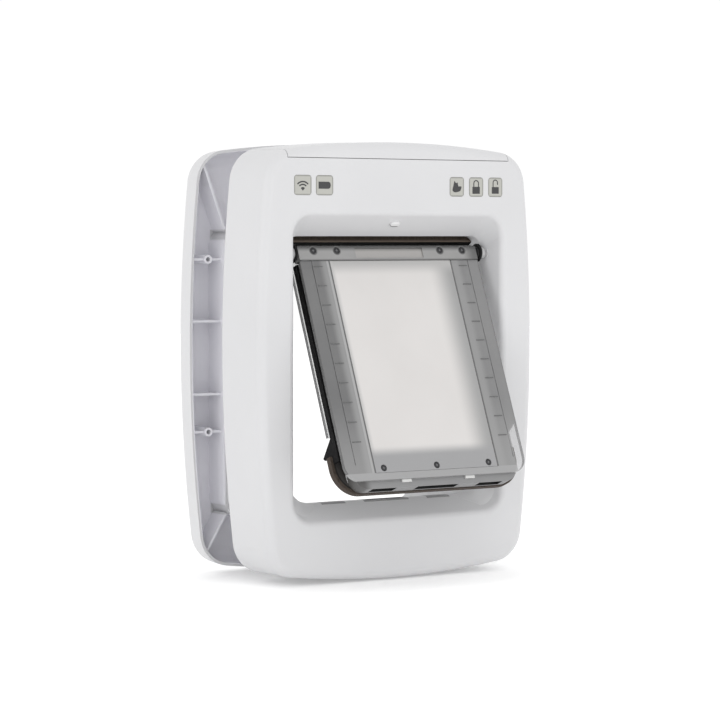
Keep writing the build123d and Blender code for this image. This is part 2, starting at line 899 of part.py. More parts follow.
def flap_bottom_screws():
    seat = flap_front_y + small_screw_head_height
    fixing = screw(window_screw_length)
    return Compound([Pos(x, seat, window_screw_z) * fixing for x in window_screw_places])


def flap_magnets():
    depth = slot_depth_limits(magnet_fit)
    top = foot_slot_top()
    half = magnet_length / 2
    return Compound([
        block((x - half, x + half), depth, (top - magnet_height, top)) for x in magnet_places
    ])


# Seal, magnets and lock of the inside frame

def top_seal():
    """Wedge under the soffit whose lower face lies along the rear of the fully swung flap."""
    toe = lip_top - top_seal_toe_drop
    profile = Polyline(
        (top_seal_front_y, mouth_top), (top_seal_front_y, lip_top - top_seal_drop), (top_seal_toe_y, toe),
        (top_seal_back_y, toe), (top_seal_back_y, mouth_top),
        close=True,
    )
    side = Plane(origin=(-mouth_half_width, 0, 0), x_dir=(0, 1, 0), z_dir=(1, 0, 0))
    wedge = extrude(side * make_face(profile), amount=2 * mouth_half_width, dir=(1, 0, 0))
    return wedge & opening_solid()


def sill_magnets():
    void = opening_solid()
    return Compound([sill_inset(x, magnet_length, magnet_height) - void for x in magnet_places])


def lock_plate():
    """Wear plate of the sill, with the slot that the lock bolt rises through."""
    plate = sill_inset(0, lock_plate_length(), lock_plate_depth) - opening_solid()
    return plate - bolt_guide(bolt_guide_fit, bolt_guide_depth, lip_bottom + wall)


def rack_pitch_x():
    return bolt_stem_width / 2


def pinion_centre():
    pitch_radius = gear_module * gear_teeth / 2
    return rack_pitch_x() + pitch_radius + gear_depth_fit, lip_bottom - pinion_drop


def rack_profile():
    """Teeth along the right edge of the stem, one of them level with the pinion."""
    pitch = pi * gear_module
    slope = tan(radians(gear_pressure_angle))
    half = pitch / 4 - gear_backlash / 2
    tip = rack_pitch_x() + gear_module
    dedendum = gear_root_share * gear_module
    root = rack_pitch_x() - dedendum
    level = pinion_centre()[1]
    faces = []
    for index in range(rack_tooth_count):
        z = level + (1 - index) * pitch
        at_root = half + dedendum * slope
        at_tip = half - gear_module * slope
        faces.append(make_face(Polyline(
            (root, z - at_root), (tip, z - at_tip), (tip, z + at_tip), (root, z + at_root), close=True
        )))
    return faces, root


def lock_bolt():
    top = lip_bottom - bolt_top_gap
    depth = (sill_slot_y - bolt_thickness / 2, sill_slot_y + bolt_thickness / 2)
    blade = block((-bolt_width / 2, bolt_width / 2), depth, (top - bolt_blade_height, top))
    blade = fillet(blade.edges().filter_by(Axis.Y).group_by(Axis.Z)[-1], bolt_nose_radius)
    teeth, root = rack_profile()
    foot = top - bolt_blade_height
    stem = block((-bolt_stem_width / 2, root), depth, (foot - bolt_stem_length, foot))
    return blade + stem + [slab(tooth, *depth) for tooth in teeth]


def involute_point(base, angle, turn):
    x = base * (cos(angle) + angle * sin(angle))
    z = base * (sin(angle) - angle * cos(angle))
    return x * cos(turn) - z * sin(turn), x * sin(turn) + z * cos(turn)


def pinion_tooth():
    """Face of one involute tooth that points along +X, from inside the root to the tip."""
    pitch_radius = gear_module * gear_teeth / 2
    base = pitch_radius * cos(radians(gear_pressure_angle))
    tip = pitch_radius + gear_module
    angle_at_pitch = sqrt((pitch_radius / base) ** 2 - 1)
    angle_at_tip = sqrt((tip / base) ** 2 - 1)
    half_tooth = (pi * gear_module / 4 - gear_backlash / 2) / pitch_radius
    turn = -half_tooth - (angle_at_pitch - radians(gear_pressure_angle))
    angles = [angle_at_tip * step / flank_steps for step in range(flank_steps + 1)]
    flank = [involute_point(base, angle, turn) for angle in angles]
    root = pitch_radius - gear_root_share * gear_module - gear_root_overlap
    foot = (root, flank[0][1] * root / base)
    side = [foot] + flank
    other = [(x, -z) for x, z in reversed(side)]
    return make_face(Polyline(*side, *other, close=True))


def lock_pinion():
    """Spur gear with a gap of its teeth facing the tooth of the rack at its own level."""
    pitch_radius = gear_module * gear_teeth / 2
    step = 360 / gear_teeth
    gear = Circle(pitch_radius - gear_root_share * gear_module)
    for index in range(gear_teeth):
        gear += Rot(0, 0, (index + 0.5) * step) * pinion_tooth()
    gear -= Circle(shaft_diameter / 2 + shaft_fit)
    half = pinion_thickness / 2
    return slab(Pos(*pinion_centre()) * gear, sill_slot_y - half, sill_slot_y + half)


def motor_front_y():
    return plate_front_y - motor_length


def motor_shaft():
    x, z = pinion_centre()
    start = sill_slot_y - pinion_thickness / 2
    return rod_y(shaft_diameter, x, start, motor_front_y() + shaft_depth_in_motor, z)


def lock_motor():
    x, z = pinion_centre()
    front = motor_front_y()
    can = rod_y(motor_diameter, x, front, plate_front_y, z)
    can = fillet(can.edges().sort_by(Axis.Y)[0], motor_edge_radius)
    bore = shaft_diameter + 2 * motor_bore_fit
    return can - rod_y(bore, x, front - wall, front + shaft_depth_in_motor + wall, z)


# Every piece by its node's name
pieces = {
    "interior_housing": interior_housing(),
    "interior_back_plate": interior_back_plate(),
    "back_plate_screws": back_plate_screws(),
    "tunnel_sleeve": tunnel_sleeve(),
    "exterior_frame": exterior_frame(),
    "battery_cover": battery_cover(),
    "battery_tray": battery_tray(),
    "battery_contacts": battery_contacts(),
    "wifi_lens": status_lens(lens_places[0]),
    "battery_lens": status_lens(lens_places[1]),
    "auto_key": push_key(key_places[0]),
    "lock_key": push_key(key_places[1]),
    "unlock_key": push_key(key_places[2]),
    "control_board": control_board(),
    "key_switches": key_switches(),
    "indicator_leds": indicator_leds(),
    "soffit_sensor": soffit_sensor(),
    "antenna_loop": antenna_loop(),
    "top_seal": top_seal(),
    "sill_magnets": sill_magnets(),
    "lock_plate": lock_plate(),
    "hinge_bush_right": hinge_bush(),
    "hinge_bush_left": mirrored(hinge_bush()),
    "hinge_pin_right": hinge_pin(),
    "hinge_pin_left": mirrored(hinge_pin()),
    "flap_clamp_strip": hung(flap_clamp_strip()),
    "flap_front_panel": hung(flap_front_panel()),
    "flap_window": hung(flap_window()),
    "flap_inner_frame": hung(flap_inner_frame()),
    "flap_rear_panel": hung(flap_rear_panel()),
    "flap_side_seal_right": hung(flap_side_seal()),
    "flap_side_seal_left": hung(mirrored(flap_side_seal()) + seal_fin()),
    "flap_bottom_seal": hung(flap_bottom_seal()),
    "flap_top_screws": hung(flap_top_screws()),
    "flap_bottom_screws": hung(flap_bottom_screws()),
    "flap_magnets": hung(flap_magnets()),
    "lock_bolt": lock_bolt(),
    "lock_pinion": lock_pinion(),
    "motor_shaft": motor_shaft(),
    "lock_motor": lock_motor(),
}
for number in range(cell_count):
    pieces[f"battery_cell_{number + 1}"] = battery_cell(number)

os.makedirs("parts", exist_ok=True)
for name, solid in pieces.items():
    export_step(solid, f"parts/{name}.step")
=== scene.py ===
from math import cos, pi, radians, sin

import bmesh
import bpy
from mathutils import Matrix, Vector


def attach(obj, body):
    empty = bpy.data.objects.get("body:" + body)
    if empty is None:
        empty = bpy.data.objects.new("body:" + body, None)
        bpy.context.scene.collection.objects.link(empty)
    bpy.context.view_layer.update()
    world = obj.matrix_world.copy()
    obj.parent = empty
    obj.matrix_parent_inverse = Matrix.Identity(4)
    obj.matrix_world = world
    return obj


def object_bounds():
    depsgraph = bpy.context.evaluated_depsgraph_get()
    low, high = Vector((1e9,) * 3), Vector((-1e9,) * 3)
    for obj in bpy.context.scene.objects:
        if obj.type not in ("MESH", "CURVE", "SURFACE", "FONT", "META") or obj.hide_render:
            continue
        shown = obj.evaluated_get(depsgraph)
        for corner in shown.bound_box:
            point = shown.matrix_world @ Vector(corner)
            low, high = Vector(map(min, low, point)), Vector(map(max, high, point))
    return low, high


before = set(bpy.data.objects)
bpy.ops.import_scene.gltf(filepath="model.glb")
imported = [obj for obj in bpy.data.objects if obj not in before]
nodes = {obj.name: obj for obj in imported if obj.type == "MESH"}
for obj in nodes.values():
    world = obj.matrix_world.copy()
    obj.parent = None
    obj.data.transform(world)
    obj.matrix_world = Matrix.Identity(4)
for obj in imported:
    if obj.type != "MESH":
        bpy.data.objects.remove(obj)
cad_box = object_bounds()

# Sizes and places of the object are in millimetres, those of the stage in metres
MM = 0.001

# Inside frame: its face, the lip of its opening, the flare in front of the lip and the drain behind it
FACE_Y = -70.0
LIP_FRONT_Y = -42.0
LIP_BACK_Y = -34.0
DOOR_Y = 0.0
LIP_HALF_WIDTH = 119.5
LIP_BOTTOM = -155.6
SIDE_FLARE = 6.5
SILL_FLARE = 16.3
SIDE_DRAIN = 2.0
SILL_DRAIN = 6.0

# Rounded corners of the sill: depth and radius of each outline, from the flare to the drain
CORNER_STATIONS = ((-64.0, 15.0), (-56.0, 22.0), (-50.0, 29.0), (-45.0, 32.0), (-34.0, 32.0), (-26.0, 14.0))
CORNER_EMBED = 1.0
CORNER_STEPS = 20

# Tiles on the face
TILE_Z = 162.5
TILE_HALF_HEIGHT = 9.75
LENS_HALF_WIDTH = 9.9
KEY_HALF_WIDTH = 8.75
LENS_X = (-116.3, -91.0)
KEY_X = (68.6, 92.8, 117.0)
SIGN_HEIGHT = 0.12

# Sensor nub on the soffit
NUB_FOOT = Vector((0.0, -58.24, 125.13))
SOFFIT_SLOPE = Vector((0.0, 28.0, -22.3)).normalized()

# Outside frame: bowed outline, rolled back edge and the lining of its passage
FRAME_MIDDLE_Z = -13.5
FRAME_HALF_WIDTH = 166.0
FRAME_HALF_HEIGHT = 220.0
FRAME_RADIUS = 34.0
SIDE_BOW_TOP = 11.5
SIDE_BOW_BOTTOM = 15.0
END_BOW = 11.5
ROLL_START_Y = 82.0
ROLL_RADIUS = 16.5
LINING_MIDDLE_Z = -28.0
LINING_HALF_WIDTH = 126.0
LINING_HALF_HEIGHT = 147.0

# Flap, measured from its hinge axis as it hangs closed
HINGE = Vector((0.0, -43.6, 94.9))
OPEN_ANGLE = radians(22.4)
PANEL_HALF_WIDTH = 108.4
PANEL_BOTTOM = -240.0
PANEL_RADIUS = 16.0
SEAL_HALF_WIDTH = 111.0
SEAL_BOTTOM = -248.6
SEAL_RADIUS = 28.0
STRIP_SCREW_X = (62.7, 90.5)
STRIP_SCREW_Z = 1.1
STRIP_HEAD_Y = -5.0
FOOT_SCREW_X = (-63.0, 0.0, 63.0)
FOOT_SCREW_Z = -228.0
FOOT_HEAD_Y = -4.0
DRIVE_HEIGHT = 0.04

# Rubber rings round the hinge bushes
RING_INNER = 6.55
RING_OUTER = 9.6
RING_NEAR_X = 111.0
RING_FAR_X = 113.0
RING_CHAMFER = 0.6
RING_STEPS = 48

# Values that several materials share
WHITE_SHELL = (0.64, 0.64, 0.65)
CLEAR_IOR = 1.49


def grey(level):
    return (level, level, level)


def shade(colour, share):
    return tuple(part * share for part in colour)


# Materials

class Shader:
    """A new material with a Principled shader and short ways to add the nodes that drive it."""

    def __init__(self, name):
        self.material = bpy.data.materials.new(name)
        self.material.use_nodes = True
        self.tree = self.material.node_tree
        self.main = self.tree.nodes["Principled BSDF"]
        self.place = self.add("ShaderNodeTexCoord").outputs["Object"]

    def set(self, **values):
        for key, value in values.items():
            self.main.inputs[key.replace("_", " ")].default_value = value
        return self

    def link(self, source, target):
        self.tree.links.new(source, target)

    def add(self, kind, **settings):
        node = self.tree.nodes.new(kind)
        for key, value in settings.items():
            setattr(node, key, value)
        return node

    def mapped(self, scale=(1, 1, 1), rotation=(0, 0, 0), location=(0, 0, 0)):
        node = self.add("ShaderNodeMapping")
        node.inputs["Location"].default_value = location
        node.inputs["Rotation"].default_value = rotation
        node.inputs["Scale"].default_value = scale
        self.link(self.place, node.inputs["Vector"])
        return node.outputs["Vector"]

    def axes(self, rotation=(0, 0, 0), location=(0, 0, 0)):
        """x, y and z of the object in millimetres, turned and then moved."""
        split = self.add("ShaderNodeSeparateXYZ")
        self.link(self.mapped((1 / MM, 1 / MM, 1 / MM), rotation, location), split.inputs["Vector"])
        return split.outputs["X"], split.outputs["Y"], split.outputs["Z"]

    def flap_axes(self):
        """x, y and z from the hinge axis, as the flap hangs closed."""
        turn = Matrix.Rotation(OPEN_ANGLE, 3, "X")
        return self.axes((OPEN_ANGLE, 0, 0), -(turn @ HINGE))

    def noise(self, scale, detail=2.0, vector=None):
        node = self.add("ShaderNodeTexNoise")
        node.inputs["Scale"].default_value = scale
        node.inputs["Detail"].default_value = detail
        self.link(vector or self.place, node.inputs["Vector"])
        return node.outputs["Fac"]

    def ramp(self, source, dark, light, start=0.3, end=0.7):
        node = self.add("ShaderNodeValToRGB")
        for element, place, colour in zip(node.color_ramp.elements, (start, end), (dark, light)):
            element.position = place
            element.color = (*colour, 1.0)
        self.link(source, node.inputs["Fac"])
        return node.outputs["Color"]

    def cloud(self, scale, dark, light):
        """Slow drift between two tones."""
        return self.ramp(self.noise(scale, 3.0), dark, light)

    def math(self, operation, first, second=0.0):
        node = self.add("ShaderNodeMath", operation=operation)
        for socket, value in zip(node.inputs, (first, second)):
            if isinstance(value, float):
                socket.default_value = value
            else:
                self.link(value, socket)
        return node.outputs["Value"]

    def product(self, first, *others):
        for other in others:
            first = self.math("MULTIPLY", first, other)
        return first

    def length(self, first, second):
        return self.math("SQRT", self.math("ADD", self.product(first, first), self.product(second, second)))

    def away(self, source, middle=0.0):
        """Distance from a middle plane."""
        return self.math("ABSOLUTE", self.math("SUBTRACT", source, middle))

    def spread(self, source, low, high, to_low=0.0, to_high=1.0):
        """Soft step from to_low at low to to_high at high; it falls where high is the lesser."""
        node = self.add("ShaderNodeMapRange", interpolation_type="SMOOTHSTEP")
        for key, value in zip(("From Min", "From Max", "To Min", "To Max"), (low, high, to_low, to_high)):
            node.inputs[key].default_value = value
        self.link(source, node.inputs["Value"])
        return node.outputs["Result"]

    def between(self, source, rise, fall):
        """1 between two soft steps, each given by its start and end."""
        return self.product(self.spread(source, *rise), self.spread(source, *reversed(fall)))

    def depth(self, across, upright, radius):
        """Distance inwards from a round-cornered outline; across and upright are how far past its sides."""
        past = [self.math("ADD", part, radius) for part in (across, upright)]
        corner = self.length(*[self.math("MAXIMUM", part, 0.0) for part in past])
        flat = self.math("MINIMUM", self.math("MAXIMUM", *past), 0.0)
        return self.math("SUBTRACT", radius, self.math("ADD", corner, flat))

    def sheet_depth(self, x, z, half_width, bottom, radius):
        """Distance inwards from the outline of a flap sheet with rounded bottom corners."""
        across = self.math("SUBTRACT", self.away(x), half_width)
        return self.depth(across, self.math("SUBTRACT", bottom, z), radius)

    def mix(self, factor, first, second):
        node = self.add("ShaderNodeMix", data_type="RGBA")
        self.link(factor, node.inputs["Factor"])
        for socket, value in zip((node.inputs[6], node.inputs[7]), (first, second)):
            if isinstance(value, tuple):
                socket.default_value = (*value, 1.0)
            else:
                self.link(value, socket)
        return node.outputs[2]

    def colour(self, source):
        self.link(source, self.main.inputs["Base Color"])
        return self

    def tint(self, factor, colour):
        """Lay a colour over the base colour where the factor is 1."""
        under = self.main.inputs["Base Color"].links[0].from_socket
        return self.colour(self.mix(factor, under, colour))

    def alpha(self, source):
        self.link(source, self.main.inputs["Alpha"])
        return self

    def rough(self, source, low, high):
        self.link(self.spread(source, 0.3, 0.7, low, high), self.main.inputs["Roughness"])
        return self

    def bump(self, source, depth, strength=0.3):
        """Fine relief; its depth is in metres."""
        node = self.add("ShaderNodeBump")
        node.inputs["Distance"].default_value = depth
        node.inputs["Strength"].default_value = strength
        self.link(source, node.inputs["Height"])
        self.link(node.outputs["Normal"], self.main.inputs["Normal"])
        return self


def moulded(name, colour, low, high, grain=900.0, depth=0.00003, drift=0.965):
    """Satin moulded plastic: fine grain, slight colour drift and uneven gloss."""
    shader = Shader(name)
    shader.colour(shader.cloud(9.0, shade(colour, drift), colour))
    shader.rough(shader.noise(38.0, 4.0), low, high)
    return shader.bump(shader.noise(grain, 3.0), depth)


def metal(name, colour, low, high):
    """Plain metal with a fine mottle in its tone and gloss."""
    shader = Shader(name).set(Metallic=1.0)
    mottle = shader.noise(400.0, 3.0)
    shader.colour(shader.ramp(mottle, shade(colour, 0.75), colour))
    return shader.rough(mottle, low, high).bump(mottle, 0.00001)


def front_panel():
    """Smoked front sheet with painted shade on its left half and painted light on its right; a paler run by
    the window, dark rims and ridges, and one clear lower corner.
    """
    shader = Shader("flap_bar").set(Coat_Weight=0.4, Coat_Roughness=0.08, IOR=CLEAR_IOR)
    x, y, z = shader.flap_axes()
    reach = shader.away(x)
    # The left half is painted darker and the right half lighter, as painted shade and painted light of what
    # shows through the smoked sheet.
    left = shader.cloud(16.0, (0.150, 0.150, 0.152), grey(0.178))
    right = shader.cloud(16.0, (0.205, 0.205, 0.207), grey(0.235))
    shader.colour(shader.mix(shader.spread(x, -50.0, 50.0), left, right))

    pale_run = shader.spread(reach, 88.0, 79.5)
    pale_foot = shader.spread(z, -150.0, -236.0, 0.0, 0.55)
    glint = shader.between(x, (-77.8, -77.0), (-74.8, -74.0))
    ridges = shader.spread(y, -4.1, -4.3)
    rim = shader.spread(shader.sheet_depth(x, z, PANEL_HALF_WIDTH, PANEL_BOTTOM, PANEL_RADIUS), 0.9, 0.4)
    window_edge = shader.product(shader.spread(reach, 75.0, 74.4), shader.spread(z, -233.8, -233.2))
    lines = shader.math("MAXIMUM", rim, window_edge)
    rail_edge = shader.spread(z, -232.2, -233.0)
    clips = shader.spread(z, -240.1, -240.4)
    tones = (
        (pale_run, grey(0.285)), (pale_foot, grey(0.34)), (glint, grey(0.39)), (ridges, grey(0.13)),
        (lines, grey(0.13)), (rail_edge, (0.36, 0.36, 0.362)), (clips, (0.72, 0.72, 0.71)),
    )
    for factor, tone in tones:
        shader.tint(factor, tone)

    slant = shader.math("ADD", z, shader.math("MULTIPLY", x, -1.05))
    clear_corner = shader.product(shader.spread(x, 96.8, 97.4), shader.spread(slant, -299.0, -300.5))
    smoke = shader.spread(clear_corner, 0.0, 1.0, 0.88, 0.10)
    shader.alpha(shader.math("MAXIMUM", smoke, shader.math("MULTIPLY", lines, 0.6)))
    return shader.rough(shader.noise(60.0, 3.0), 0.16, 0.26)


def rear_panel():
    """Clear rear sheet with the dark tint of its sawn edges."""
    shader = Shader("rear_clear").set(Coat_Weight=0.6, Coat_Roughness=0.06, IOR=CLEAR_IOR)
    x, y, z = shader.flap_axes()
    clear = (0.60, 0.60, 0.59)
    shader.colour(shader.cloud(14.0, shade(clear, 0.9), clear))
    sawn_edge = shader.spread(shader.away(x), 107.6, 108.0)
    shader.tint(sawn_edge, grey(0.05)).alpha(shader.spread(sawn_edge, 0.0, 1.0, 0.30, 0.85))
    return shader.rough(shader.noise(60.0, 3.0), 0.08, 0.14)


def frosted_window():
    """Frosted sheet with the soft shade of the grey frame behind it along its edges."""
    shader = Shader("flap_frosted").set(IOR=CLEAR_IOR)
    x, y, z = shader.flap_axes()
    frost = shader.noise(11.0, 3.0)
    shader.colour(shader.ramp(frost, (0.610, 0.592, 0.580), (0.645, 0.627, 0.615), 0.25, 0.75))
    right_edge = shader.spread(x, 42.0, 73.0)
    top_edge = shader.spread(z, -26.0, -11.0)
    left_edge = shader.spread(x, -68.0, -73.5)
    bottom_edge = shader.spread(z, -205.0, -217.0)
    shader.tint(right_edge, grey(0.31)).tint(top_edge, (0.42, 0.415, 0.41))
    shader.tint(left_edge, (0.46, 0.455, 0.45)).tint(bottom_edge, (0.31, 0.31, 0.315))
    return shader.rough(shader.noise(70.0, 4.0), 0.38, 0.52).bump(shader.noise(1500.0, 2.0), 0.00002)


def top_seal():
    """Brown pile with painted shade: dark up where it meets the soffit and lighter lower down, with a black
    painted shadow on the seal's underside.
    """
    shader = Shader("brown_pile").set(Specular_IOR_Level=0.05)
    x, y, z = shader.axes()
    fibres = shader.noise(1.0, 4.0, shader.mapped((700, 700, 180)))
    shader.colour(shader.ramp(fibres, (0.038, 0.030, 0.024), (0.072, 0.058, 0.046), 0.3, 0.72))
    # Painted shade and light: the pile is darker up by the soffit and lighter below it, and the seal's
    # underside is painted black as shadow.
    lower_pile_painted_light = shader.spread(z, 109.2, 106.6)
    underside_painted_shadow = shader.spread(z, 106.2, 105.8)
    shader.tint(lower_pile_painted_light, (0.183, 0.149, 0.122)).tint(underside_painted_shadow, grey(0.006))
    return shader.rough(fibres, 0.75, 0.95).bump(fibres, 0.0003, 0.6)


def hinge_bush():
    """Bush painted mid grey as shade, to match the shaded wall round it, and black where its collar is next
    to the flap.
    """
    # The mid grey of the bush is painted shade.
    shader = moulded("hinge_ring_painted_shade", (0.50, 0.50, 0.505), 0.5, 0.6)
    x, y, z = shader.axes()
    by_flap = shader.spread(shader.away(x), 113.2, 112.8)
    return shader.tint(by_flap, (0.015, 0.015, 0.016))


def sensor_nub():
    """White nub, dark grey on its outer end, the side that looks into the opening."""
    shader = moulded("sensor_nub", (0.74, 0.74, 0.745), 0.3, 0.4)
    x, y, z = shader.axes()
    along_y = shader.math("MULTIPLY", shader.math("SUBTRACT", y, NUB_FOOT.y), SOFFIT_SLOPE.y)
    along_z = shader.math("MULTIPLY", shader.math("SUBTRACT", z, NUB_FOOT.z), SOFFIT_SLOPE.z)
    # The outer end of the nub is painted dark grey.
    lens = shader.spread(shader.math("ADD", along_y, along_z), 0.9, 1.7)
    return shader.tint(lens, grey(0.13))


def bottom_seal():
    """Dark rubber lip with a brown pile rim and a black line inside the rim."""
    shader = Shader("flap_lip").set(Specular_IOR_Level=0.3)
    x, y, z = shader.flap_axes()
    fibres = shader.noise(1.0, 4.0, shader.mapped((900, 900, 260)))
    shader.colour(shader.ramp(fibres, (0.034, 0.026, 0.021), (0.085, 0.066, 0.053), 0.3, 0.75))
    depth = shader.sheet_depth(x, z, SEAL_HALF_WIDTH, SEAL_BOTTOM, SEAL_RADIUS)
    black_line = shader.spread(depth, 2.9, 3.4)
    lip = shader.spread(depth, 4.5, 5.0)
    root = shader.spread(depth, 8.5, 12.5)
    shader.tint(black_line, (0.018, 0.017, 0.016)).tint(lip, (0.055, 0.052, 0.050))
    shader.tint(root, (0.03, 0.028, 0.027))
    return shader.rough(fibres, 0.55, 0.85).bump(fibres, 0.0002, 0.5)


def flap_core():
    """Grey moulding, darker at its foot, with painted shade that darkens its left end and blackens the
    inside of the slots of the foot.
    """
    shader = moulded("core_grey", (0.34, 0.34, 0.345), 0.4, 0.5)
    x, y, z = shader.flap_axes()
    foot = shader.spread(z, -239.8, -240.2)
    # Painted shade: the left end of the moulding is darker.
    left_end_painted_shade = shader.spread(x, -78.0, -88.0)
    # Painted shade: the slots of the foot are black inside.
    slots = shader.product(
        shader.between(y, (0.3, 0.5), (10.7, 10.9)),
        shader.between(z, (-247.58, -247.5), (-232.3, -232.1)),
        shader.spread(shader.away(x), 79.5, 79.0),
    )
    shader.tint(foot, (0.24, 0.24, 0.242)).tint(left_end_painted_shade, (0.09, 0.088, 0.086))
    return shader.tint(slots, grey(0.012))


def clamp_strip():
    """Clear bar over grey, warm in its recess, with painted shade under the soffit, at the right end and
    round the screws.
    """
    shader = Shader("clamp_clear").set(Alpha=0.9, Coat_Weight=0.5, Coat_Roughness=0.06, IOR=CLEAR_IOR)
    x, y, z = shader.flap_axes()
    shader.colour(shader.cloud(14.0, (0.305, 0.303, 0.300), (0.340, 0.338, 0.335)))
    recess = shader.spread(y, -4.3, -3.9)
    # Painted shade under the soffit.
    soffit_painted_shade = shader.spread(z, -0.5, 6.0)
    lower_edge = shader.spread(z, -7.2, -9.2)
    # Painted shade at the right end of the bar.
    right_end_painted_shade = shader.spread(x, 88.0, 105.0, 0.0, 0.75)
    shader.tint(recess, (0.385, 0.372, 0.361)).tint(soffit_painted_shade, grey(0.03))
    shader.tint(lower_edge, grey(0.16)).tint(right_end_painted_shade, grey(0.06))
    # Painted shade in a ring round each screw head.
    rise = shader.math("SUBTRACT", z, STRIP_SCREW_Z)
    for middle in STRIP_SCREW_X:
        run = shader.math("SUBTRACT", shader.away(x), middle)
        shader.tint(shader.spread(shader.length(run, rise), 5.4, 4.0), grey(0.10))
    return shader.rough(shader.noise(60.0, 3.0), 0.14, 0.22)


def outer_frame():
    """White outside frame, painted a little cooler and paler in the ribbed hollow round the passage as
    bounced light.
    """
    shader = moulded("outer_shell", WHITE_SHELL, 0.36, 0.46)
    x, y, z = shader.axes()
    reach = shader.away(x)
    rise = shader.away(z, FRAME_MIDDLE_Z)

    def past_bowed(along, half, bow, across, corner):
        """How far a point lies past a side that falls off by bow towards its corners."""
        share = shader.math("DIVIDE", across, corner)
        fall = shader.product(share, share, bow)
        return shader.math("SUBTRACT", along, shader.math("SUBTRACT", half, fall))

    side_bow = shader.spread(z, -20.0, 0.0, SIDE_BOW_BOTTOM, SIDE_BOW_TOP)
    past_side = past_bowed(reach, FRAME_HALF_WIDTH, side_bow, rise, FRAME_HALF_HEIGHT - END_BOW)
    past_end = past_bowed(rise, FRAME_HALF_HEIGHT, END_BOW, reach, FRAME_HALF_WIDTH - SIDE_BOW_BOTTOM)
    into_roll = shader.math("MAXIMUM", shader.math("SUBTRACT", y, ROLL_START_Y), 0.0)
    reach_square = shader.math("SUBTRACT", ROLL_RADIUS ** 2, shader.product(into_roll, into_roll))
    roll_reach = shader.math("SQRT", shader.math("MAXIMUM", reach_square, 0.0))
    rolled_in = shader.math("SUBTRACT", ROLL_RADIUS, roll_reach)
    behind_wall = shader.math("SUBTRACT", shader.depth(past_side, past_end, FRAME_RADIUS), rolled_in)

    past_lining = shader.math(
        "MAXIMUM",
        shader.math("SUBTRACT", reach, LINING_HALF_WIDTH),
        shader.math("SUBTRACT", shader.away(z, LINING_MIDDLE_Z), LINING_HALF_HEIGHT),
    )
    # Painted bounced light: the ribbed hollow round the passage is a little cooler and paler.
    hollow = shader.product(
        shader.spread(behind_wall, 0.6, 1.2),
        shader.spread(past_lining, -0.5, 0.5),
        shader.spread(y, 98.5, 97.5),
    )
    return shader.tint(hollow, (0.83, 0.825, 0.865))


def tile_face(name, centre, half_width):
    """Pale tile with a darker line round its edge."""
    shader = moulded(name, (0.45, 0.448, 0.413), 0.28, 0.36, 1200.0, 0.00002)
    x, y, z = shader.axes()
    past_side = shader.math("SUBTRACT", shader.away(x, centre), half_width)
    past_end = shader.math("SUBTRACT", shader.away(z, TILE_Z), TILE_HALF_HEIGHT)
    edge = shader.spread(shader.math("MAXIMUM", past_side, past_end), -1.3, -0.9)
    return shader.tint(edge, (0.30, 0.30, 0.275))


def board():
    """Green solder mask with rows of tracks under it."""
    shader = Shader("board_mask").set(Coat_Weight=0.3)
    tracks = shader.add("ShaderNodeTexBrick")
    tracks.inputs["Scale"].default_value = 120.0
    tracks.inputs["Color1"].default_value = (0.012, 0.085, 0.035, 1)
    tracks.inputs["Color2"].default_value = (0.018, 0.11, 0.045, 1)
    tracks.inputs["Mortar"].default_value = (0.03, 0.15, 0.06, 1)
    shader.link(shader.mapped(rotation=(pi / 2, 0, 0)), tracks.inputs["Vector"])
    shader.colour(tracks.outputs["Color"])
    return shader.rough(shader.noise(90.0), 0.3, 0.45)


def coil():
    """Copper wire wound side by side."""
    shader = Shader("coil_wire").set(Metallic=0.7)
    wires = shader.add("ShaderNodeTexWave", bands_direction="Y")
    wires.inputs["Scale"].default_value = 900.0
    shader.link(shader.place, wires.inputs["Vector"])
    shader.colour(shader.ramp(wires.outputs["Fac"], (0.20, 0.07, 0.02), (0.55, 0.24, 0.09), 0.2, 0.8))
    return shader.rough(shader.noise(80.0), 0.3, 0.5).bump(wires.outputs["Fac"], 0.0002)


shell = moulded("white_shell", WHITE_SHELL, 0.36, 0.46)
inner_shell = moulded("pale_lining", (0.69, 0.69, 0.70), 0.42, 0.52)
dark = moulded("dark_moulding", (0.035, 0.035, 0.038), 0.4, 0.55)
ink = moulded("sign_ink", (0.045, 0.045, 0.047), 0.35, 0.5, drift=0.8)
rubber = moulded("black_rubber", (0.011, 0.011, 0.0115), 0.7, 0.85, 600.0, 0.00006, 0.7)
rubber.set(Specular_IOR_Level=0.2)
gear = moulded("gear_plastic", (0.74, 0.72, 0.64), 0.3, 0.4)
lamp = moulded("lamp_epoxy", (0.85, 0.82, 0.66), 0.12, 0.2)
jacket = moulded("cell_jacket", (0.05, 0.055, 0.065), 0.25, 0.35, 300.0, 0.00002, 0.8)
magnet = moulded("magnet_coat", (0.29, 0.29, 0.295), 0.4, 0.55)
steel = metal("bright_steel", (0.55, 0.55, 0.56), 0.25, 0.4)
fixing = metal("dark_fixing", (0.07, 0.07, 0.073), 0.3, 0.45)
drive = metal("drive_metal", (0.24, 0.24, 0.245), 0.3, 0.45)
bush = hinge_bush()

